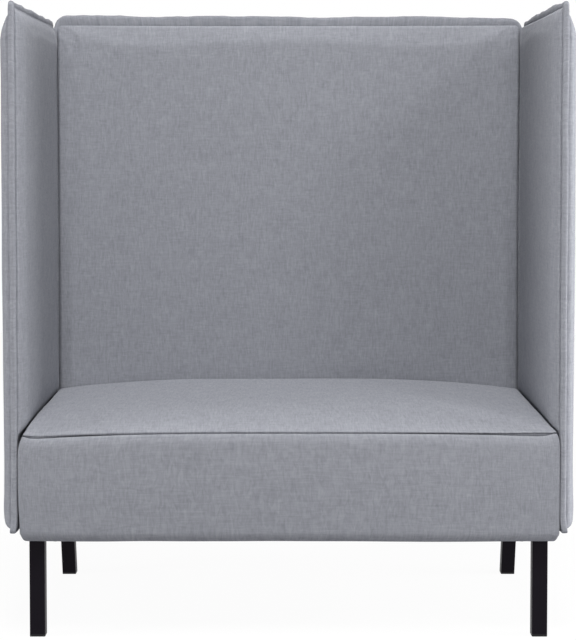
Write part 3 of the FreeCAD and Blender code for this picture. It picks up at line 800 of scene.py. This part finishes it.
def seat_border():
    bm = cloth_grid(*border_cells)
    way_round = 2 * (border_high.x - border_low.x + border_high.y - border_low.y)
    cut_place = {}
    for vertex in bm.verts:
        way, share = 2 * (vertex.co.x + 1), (1 - vertex.co.y) / 2
        out, z, inset = border_profile(share)
        on_right = 0.5 < way % 4 < 2.5
        taper, corner = (right_taper, right_corner) if on_right else (left_taper, left_corner)
        half_x = border_high.x - inset - taper * eased(-z, -taper_top, -border_low.z)
        front = seat_front + (border_low.y - seat_front) * out + inset
        back = seat_back + (border_high.y - seat_back) * out - inset
        radius = seat_corner + (corner - seat_corner) * out
        s, t, end = border_place(way % 4, 0, (-half_x, half_x, front, back), 0, radius)
        side_out = soft_edge(border_high.z - z, left_shoulder if s < 0 else right_shoulder)
        s = flared(s, t, 1 - out) * (1 - (1 - side_out) * (1 - seat_half / border_high.x))
        down = border_high.z - z + inset + turn_share * (border_high.x - seat_half) * out
        cut_place[vertex] = (way / 4 * way_round, down)
        near_seam = max(0.0, 1 - (border_high.z - z) / seam_follow)
        z += (seam_height(s, t) - seat_seam) * near_seam
        z += seam_ridge * math.sin(math.pi * min(out / ridge_end, 1.0))
        place = Vector((s, t, z))
        down_share = (border_high.z - z) / (border_high.z - border_low.z)
        face = math.sin(math.pi * min(max(down_share, 0), 1))
        if way % 4 < 1:
            swell = face_swell * face * soft_edge(end, face_swell_reach)
            swell += lump_height * border_lump_share * uneven(place, lump_length, border_seed)
            t -= swell * soft_edge(border_high.z - z, swell_below_seam) * soft_edge(end, swell_past_corner)
            z -= hem_sag * math.sin(math.pi * min(inset / (hem_sag_reach * bottom_round), 1.0))
        pull = bottom_pull * uneven(place, pull_length, pull_seed)
        z += pull * soft_edge(share - pull_start, pull_reach)
        vertex.co = (s, t, z)
    lay_weave(bm, cut_place)
    bmesh.ops.remove_doubles(bm, verts=bm.verts, dist=same_place)
    smooth_shaded(bm)
    bmesh.ops.recalc_face_normals(bm, faces=bm.faces)
    bmesh.ops.solidify(bm, geom=bm.faces[:], thickness=flat_cloth)
    return make_piece("seat_border_cover" + sewn, bm)


soft_pieces["seat_border_cover"] = seat_border()
print("seat border:", [round(size, 3) for size in soft_pieces["seat_border_cover"].dimensions])

# %% [markdown]
# ## Finishes
#
# The cloth is a grey linen-like weave. Threads a millimetre wide give it its touch, and thicker
# stretches in the yarn, called slubs, give it short pale and dark streaks along both directions. Both
# are drawn on the weave map. The top strips of the welts are darker with painted shade.

# %% Node helpers
grain_roughness = 0.6


def new_material(name):
    material = bpy.data.materials.new(name)
    material.use_nodes = True
    tree = material.node_tree
    return material, tree, tree.nodes["Principled BSDF"]


def add_node(tree, kind, inputs=None, **settings):
    """A node with its settings, whose inputs are values or other nodes' outputs."""
    made = tree.nodes.new(kind)
    for name, value in settings.items():
        setattr(made, name, value)
    for key, value in (inputs or {}).items():
        if isinstance(value, bpy.types.NodeSocket):
            tree.links.new(value, made.inputs[key])
        else:
            made.inputs[key].default_value = value
    return made


def math_node(tree, operation, first, second):
    return add_node(tree, "ShaderNodeMath", {0: first, 1: second}, operation=operation).outputs[0]


def weighted_sum(tree, parts):
    """Adds outputs up, each times its weight."""
    total = 0.0
    for output, weight in parts:
        total = add_node(
            tree, "ShaderNodeMath", {0: output, 1: weight, 2: total}, operation="MULTIPLY_ADD"
        ).outputs[0]
    return total


def stretched_noise(tree, place, scale, detail, bend=0.0):
    """Noise between 0 and 1 on a stretched map, for streaks and grain."""
    mapped = add_node(tree, "ShaderNodeMapping", {"Vector": place, "Scale": scale})
    inputs = {
        "Vector": mapped.outputs[0], "Scale": 1.0, "Detail": detail,
        "Roughness": grain_roughness, "Distortion": bend,
    }
    return add_node(tree, "ShaderNodeTexNoise", inputs).outputs["Fac"]


def ramp(tree, amount, low, high, low_colour, high_colour):
    made = add_node(tree, "ShaderNodeValToRGB", {"Fac": amount})
    made.color_ramp.elements[0].position = low
    made.color_ramp.elements[0].color = (*low_colour, 1)
    made.color_ramp.elements[1].position = high
    made.color_ramp.elements[1].color = (*high_colour, 1)
    return made.outputs["Color"]


print("node helpers ready")

# %% Grey woven cloth
thread_width = 0.0011
slub_bend = 0.9
slubs_across, slubs_along = 230, 40
speckles, cloud_count = 900, 22
upright_weight, level_weight, speckle_weight, cloud_weight = 0.44, 0.28, 0.12, 0.16
tone_low, tone_high = 0.25, 0.75
# Painted shade: how much darker the welts' top strips are made in the cloth's colour.
painted_shade_strength = 0.13
cloth_dark = (0.205, 0.212, 0.238)
cloth_light = (0.360, 0.368, 0.402)


def grey_weave():
    material, tree, shader = new_material("grey_weave_cloth")
    place = add_node(tree, "ShaderNodeUVMap", uv_map="weave").outputs[0]
    split = add_node(tree, "ShaderNodeSeparateXYZ", {"Vector": place})
    waves = []
    for axis in ("X", "Y"):
        turns = math_node(tree, "MULTIPLY", split.outputs[axis], math.pi / thread_width)
        waves.append(math_node(tree, "SINE", turns, 0.0))
    weave = math_node(tree, "MULTIPLY", waves[0], waves[1])
    upright_slubs = stretched_noise(tree, place, (slubs_across, slubs_along, 1), 1.0, slub_bend)
    level_slubs = stretched_noise(tree, place, (slubs_along, slubs_across, 1), 1.0, slub_bend)
    speckle = stretched_noise(tree, place, (speckles, speckles, 1), 1.0)
    clouds = stretched_noise(tree, place, (cloud_count, cloud_count, 1), 3.0)
    # Painted shade: the last term of the tone below makes the welts' top strips darker in colour.
    on_top = add_node(tree, "ShaderNodeAttribute", attribute_name="painted_shade_strip").outputs["Fac"]
    tone = weighted_sum(tree, [
        (upright_slubs, upright_weight), (level_slubs, level_weight), (speckle, speckle_weight),
        (clouds, cloud_weight), (on_top, -painted_shade_strength),
    ])
    colour = ramp(tree, tone, tone_low, tone_high, cloth_dark, cloth_light)
    tree.links.new(colour, shader.inputs["Base Color"])
    height = weighted_sum(tree, [(weave, 0.5), (upright_slubs, 1.0), (level_slubs, 1.0)])
    bump = add_node(tree, "ShaderNodeBump", {"Height": height, "Strength": 0.25, "Distance": 0.0005})
    tree.links.new(bump.outputs[0], shader.inputs["Normal"])
    shader.inputs["Roughness"].default_value = 0.92
    shader.inputs["Specular IOR Level"].default_value = 0.1
    shader.inputs["Sheen Weight"].default_value = 0.03
    shader.inputs["Sheen Roughness"].default_value = 0.5
    return material


finishes = {"grey_weave": grey_weave()}
print("grey weave: threads of", thread_width * 1000, "mm")

# %% [markdown]
# The legs are powder coated steel. Powder melts into a skin like orange peel, so the finish is a satin
# black with a fine soft bump. The plastic glides and the dust cover are black too, each with a grain of
# its own. These patterns are read in Object coordinates, which are metres here because every piece
# keeps its place in its mesh.

# %% Legs, glides and lining
def object_place(tree):
    return add_node(tree, "ShaderNodeTexCoord").outputs["Object"]


def grained(name, scale, dark, light, roughness, bump_height, metallic=0.0, gloss=0.5):
    """A finish with one grain: scale is how many grains go to a metre along each axis."""
    material, tree, shader = new_material(name)
    grain = stretched_noise(tree, object_place(tree), scale, 3.0)
    tree.links.new(ramp(tree, grain, 0.3, 0.7, dark, light), shader.inputs["Base Color"])
    low, high = roughness
    rough = add_node(tree, "ShaderNodeMapRange", {"Value": grain, "To Min": low, "To Max": high})
    tree.links.new(rough.outputs[0], shader.inputs["Roughness"])
    bump = add_node(tree, "ShaderNodeBump", {"Height": grain, "Strength": 0.5, "Distance": bump_height})
    tree.links.new(bump.outputs[0], shader.inputs["Normal"])
    shader.inputs["Metallic"].default_value = metallic
    shader.inputs["Specular IOR Level"].default_value = gloss
    return material


finishes["black_paint"] = grained(
    "black_powder_coat", (900, 900, 900), (0.0055, 0.0042, 0.0068), (0.0095, 0.0074, 0.0112),
    (0.36, 0.50), 0.0001, gloss=0.07)
finishes["black_plastic"] = grained(
    "black_moulded_plastic", (1500, 1500, 1500), (0.009, 0.009, 0.010), (0.013, 0.013, 0.014),
    (0.45, 0.6), 0.0001, gloss=0.2)
finishes["black_lining"] = grained(
    "black_lining_felt", (700, 250, 700), (0.014, 0.014, 0.016), (0.030, 0.030, 0.032),
    (0.85, 0.95), 0.0003)
print("black finishes: paint, plastic, lining")

# %% [markdown]
# What lies inside the sofa never shows in a photograph, but the parts are there, so they get their
# finishes too: plywood and beech with their grain along the board, foam, felt, webbing and bright zinc
# on the fasteners.

# %% Inner materials
finishes["plywood"] = grained(
    "birch_plywood", (60, 60, 6), (0.52, 0.38, 0.22), (0.68, 0.52, 0.34), (0.6, 0.75), 0.0002)
finishes["beech"] = grained(
    "planed_beech", (10, 70, 70), (0.48, 0.31, 0.17), (0.64, 0.45, 0.28), (0.5, 0.65), 0.0002)
finishes["foam"] = grained(
    "cut_foam", (500, 500, 500), (0.72, 0.67, 0.54), (0.88, 0.84, 0.72), (0.9, 1.0), 0.0005)
finishes["felt"] = grained(
    "needled_felt", (400, 400, 400), (0.28, 0.27, 0.25), (0.46, 0.45, 0.43), (0.9, 1.0), 0.0005)
finishes["webbing"] = grained(
    "black_webbing", (450, 450, 450), (0.045, 0.045, 0.050), (0.080, 0.080, 0.086), (0.7, 0.85), 0.0003)
finishes["zinc_steel"] = grained(
    "zinc_plate", (700, 700, 700), (0.56, 0.57, 0.58), (0.68, 0.69, 0.70),
    (0.25, 0.4), 0.00005, metallic=1.0)

node_slots = {}
for part in frame["record"]["subparts"]:
    node_slots[part["node"]] = part["material_slot"]
for node, part in frame["nodes"].items():
    part.data.materials.clear()
    part.data.materials.append(finishes[node_slots[node]])
print("finishes:", len(finishes), "on", len(frame["nodes"]), "nodes")

# %% [markdown]
# ## Dressing the frame
#
# Each soft piece now takes the place of its solid: a cover stands for the cloth and for the pad under
# it. It moves with the sofa's one body.

# %% Dress
stands_for = {name: [name] for name in soft_pieces}
panel_pads = {"left": ("inner", "outer"), "right": ("inner", "outer"), "back": ("front", "rear")}
for panel, pads in panel_pads.items():
    for pad in pads:
        stands_for[panel + "_" + pad + "_cover"].append(panel + "_" + pad + "_pad")
stands_for["seat_top_cover"].append("seat_foam")

for name, piece in soft_pieces.items():
    piece.data.materials.append(finishes["grey_weave"])
    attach(piece, "root")
    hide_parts(*stands_for[name])
replaced_count = sum(len(nodes) for nodes in stands_for.values())
print("dressed:", len(soft_pieces), "soft pieces for", replaced_count, "nodes")

# %% [markdown]
# ## Floor and light
#
# The sofa stands on a plain pale floor in a white room. A background is white when its colour is white,
# so the floor and the world are white to the camera, while the light that reaches the cloth stays at a
# plain level. A part of the floor's surface is lit as usual, which keeps the soft shadow under the
# legs.

# %% Floor
floor_size = 12.0
floor_white_share = 0.95
floor_seen, floor_bounce = (1.0, 1.0, 1.0, 1), (0.38, 0.38, 0.39, 1)


def seen_straight(tree):
    """1 for rays from the camera, and for those that gloss or glass sends on; 0 for bounced light."""
    path = add_node(tree, "ShaderNodeLightPath")
    glossy = math_node(tree, "MAXIMUM", path.outputs["Is Camera Ray"], path.outputs["Is Glossy Ray"])
    return math_node(tree, "MAXIMUM", glossy, path.outputs["Is Transmission Ray"])


def pale_floor():
    material, tree, shader = new_material("pale_floor")
    straight = seen_straight(tree)
    colours = {"Factor": straight, "A": floor_bounce, "B": floor_seen}
    colour = add_node(tree, "ShaderNodeMix", colours, data_type="RGBA")
    tree.links.new(colour.outputs["Result"], shader.inputs["Base Color"])
    shader.inputs["Roughness"].default_value = 0.9
    shader.inputs["Specular IOR Level"].default_value = 0.0
    white = add_node(tree, "ShaderNodeEmission", {"Color": (1, 1, 1, 1), "Strength": 1.0})
    share = math_node(tree, "MULTIPLY", straight, floor_white_share)
    mixed = add_node(tree, "ShaderNodeMixShader", {0: share, 1: shader.outputs[0], 2: white.outputs[0]})
    tree.links.new(mixed.outputs[0], tree.nodes["Material Output"].inputs["Surface"])
    return material


bm = bmesh.new()
bmesh.ops.create_grid(bm, x_segments=1, y_segments=1, size=floor_size / 2)
floor = make_piece("floor", bm)
floor.data.materials.append(pale_floor())
print("floor:", floor_size, "m wide")

# %% World and lamps
ambient = 0.05

world = bpy.data.worlds.new("white_room")
bpy.context.scene.world = world
world.use_nodes = True
sky = world.node_tree.nodes["Background"]
sky.inputs["Color"].default_value = (1, 1, 1, 1)
strength = add_node(
    world.node_tree, "ShaderNodeMapRange",
    {"Value": seen_straight(world.node_tree), "To Min": ambient, "To Max": 1.0},
)
world.node_tree.links.new(strength.outputs[0], sky.inputs["Strength"])


def soft_lamp(name, place, target, size, power):
    lamp = bpy.data.objects.new(name, bpy.data.lights.new(name, "AREA"))
    bpy.context.scene.collection.objects.link(lamp)
    lamp.data.shape = "SQUARE"
    lamp.data.size = size
    lamp.data.energy = power
    lamp.location = place
    lamp.rotation_euler = (Vector(target) - Vector(place)).to_track_quat("-Z", "Y").to_euler()


# Each lamp: where it stands, what it points at, its width in metres and its power in watts
lamps = {
    "key_lamp": ((3.2, -3.2, 3.26), (0, 0, 0.7), 0.8, 37),
    "high_front_lamp": ((0, -3.2, 5.8), (0, 0, 0.6), 1.5, 200),
    "overhead_lamp": ((0, -1.7, 6.6), (0, 0, 0.6), 1.5, 86),
    "seat_lamp": ((0, -0.8, 3.0), (0, -0.2, 0.45), 1.2, 15),
    "far_front_lamp": ((0, -9.0, 1.6), (0, 0, 0.6), 2.0, 67),
    "right_lamp": ((3.4, -0.3, 1.0), (0.6, 0, 0.8), 1.5, 122),
    "right_front_lamp": ((1.8, -2.4, 1.0), (0.6, -0.3, 0.8), 0.8, 6),
    "left_lamp": ((-3.5, -0.95, 1.1), (0.3, -0.3, 0.8), 1.0, 63),
    "rear_lamp": ((0, 4.0, 0.9), (0, 0, 0.7), 2.0, 60),
}
for name, (place, target, size, power) in lamps.items():
    soft_lamp(name, place, target, size, power)
bpy.context.scene.view_settings.view_transform = "Standard"
print("light: white world and", len(lamps), "soft lamps")
